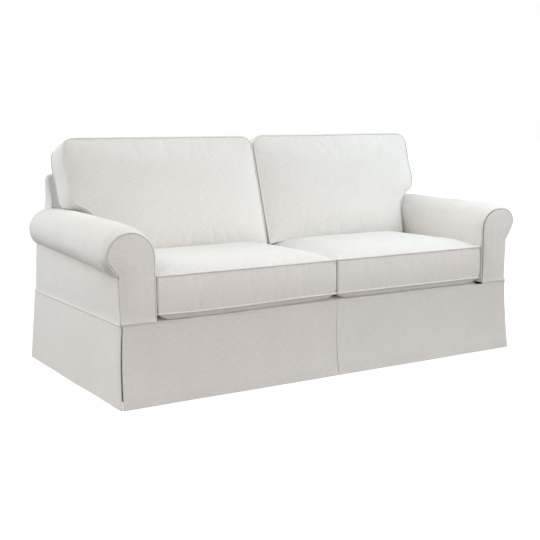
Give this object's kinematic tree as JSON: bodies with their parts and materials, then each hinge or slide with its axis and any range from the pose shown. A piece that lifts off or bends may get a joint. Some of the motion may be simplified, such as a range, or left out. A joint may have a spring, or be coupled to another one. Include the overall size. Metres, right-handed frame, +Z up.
{
  "type": "sofa slipcover",
  "caption": "Fitted, skirted slipcover for a two-cushion sofa with rolled arms, piped seams and pleated corners, with its box seat cushions and T-shaped back cushions.",
  "frame": {"origin": "on the floor, at the middle of the footprint of the skirt and arms", "axes": "+Z up; the front faces -Y; +X is the right-hand side seen from the front"},
  "size_m": [1.97, 1.0238, 0.9686],
  "materials": {
    "deck_panel": "off-white woven cotton cloth with a faint slub, matt",
    "inside_back_panel": "off-white woven cotton cloth with a faint slub, matt",
    "outside_back_panel": "off-white woven cotton cloth with a faint slub, matt",
    "back_band": "off-white woven cotton cloth with a faint slub, matt",
    "arm_roll_panel_left": "off-white woven cotton cloth with a faint slub, matt",
    "outside_arm_panel_left": "off-white woven cotton cloth with a faint slub, matt",
    "arm_facing_left": "off-white woven cotton cloth with a faint slub, matt",
    "arm_welt_left": "covered cord in the same woven cloth, matt",
    "skirt_front_left": "off-white woven cotton cloth with a faint slub, matt",
    "skirt_side_left": "off-white woven cotton cloth with a faint slub, matt",
    "pleat_front_left": "off-white woven cotton cloth with a faint slub, matt",
    "pleat_rear_left": "off-white woven cotton cloth with a faint slub, matt",
    "seat_cushion_left": "off-white woven cotton cloth over a soft filling, matt",
    "seat_welt_upper_left": "covered cord in the same woven cloth, matt",
    "seat_welt_lower_left": "covered cord in the same woven cloth, matt",
    "back_cushion_left": "off-white woven cotton cloth over a soft filling, matt",
    "back_welt_front_left": "covered cord in the same woven cloth, matt",
    "back_welt_rear_left": "covered cord in the same woven cloth, matt",
    "arm_roll_panel_right": "off-white woven cotton cloth with a faint slub, matt",
    "outside_arm_panel_right": "off-white woven cotton cloth with a faint slub, matt",
    "arm_facing_right": "off-white woven cotton cloth with a faint slub, matt",
    "arm_welt_right": "covered cord in the same woven cloth, matt",
    "skirt_front_right": "off-white woven cotton cloth with a faint slub, matt",
    "skirt_side_right": "off-white woven cotton cloth with a faint slub, matt",
    "pleat_front_right": "off-white woven cotton cloth with a faint slub, matt",
    "pleat_rear_right": "off-white woven cotton cloth with a faint slub, matt",
    "seat_cushion_right": "off-white woven cotton cloth over a soft filling, matt",
    "seat_welt_upper_right": "covered cord in the same woven cloth, matt",
    "seat_welt_lower_right": "covered cord in the same woven cloth, matt",
    "back_cushion_right": "off-white woven cotton cloth over a soft filling, matt",
    "back_welt_front_right": "covered cord in the same woven cloth, matt",
    "back_welt_rear_right": "covered cord in the same woven cloth, matt",
    "skirt_rear": "off-white woven cotton cloth with a faint slub, matt",
    "pleat_middle": "off-white woven cotton cloth with a faint slub, matt",
    "skirt_piping": "covered cord in the same woven cloth, matt"
  },
  "bodies": {
    "root": {"deck_panel": "deck_panel", "inside_back_panel": "inside_back_panel", "outside_back_panel": "outside_back_panel", "back_band": "back_band", "arm_roll_panel_left": "arm_roll_panel_left", "outside_arm_panel_left": "outside_arm_panel_left", "arm_facing_left": "arm_facing_left", "arm_welt_left": "arm_welt_left", "skirt_front_left": "skirt_front_left", "skirt_side_left": "skirt_side_left", "pleat_front_left": "pleat_front_left", "pleat_rear_left": "pleat_rear_left", "seat_cushion_left": "seat_cushion_left", "seat_welt_upper_left": "seat_welt_upper_left", "seat_welt_lower_left": "seat_welt_lower_left", "back_cushion_left": "back_cushion_left", "back_welt_front_left": "back_welt_front_left", "back_welt_rear_left": "back_welt_rear_left", "arm_roll_panel_right": "arm_roll_panel_right", "outside_arm_panel_right": "outside_arm_panel_right", "arm_facing_right": "arm_facing_right", "arm_welt_right": "arm_welt_right", "skirt_front_right": "skirt_front_right", "skirt_side_right": "skirt_side_right", "pleat_front_right": "pleat_front_right", "pleat_rear_right": "pleat_rear_right", "seat_cushion_right": "seat_cushion_right", "seat_welt_upper_right": "seat_welt_upper_right", "seat_welt_lower_right": "seat_welt_lower_right", "back_cushion_right": "back_cushion_right", "back_welt_front_right": "back_welt_front_right", "back_welt_rear_right": "back_welt_rear_right", "skirt_rear": "skirt_rear", "pleat_middle": "pleat_middle", "skirt_piping": "skirt_piping"}
  },
  "joints": []
}
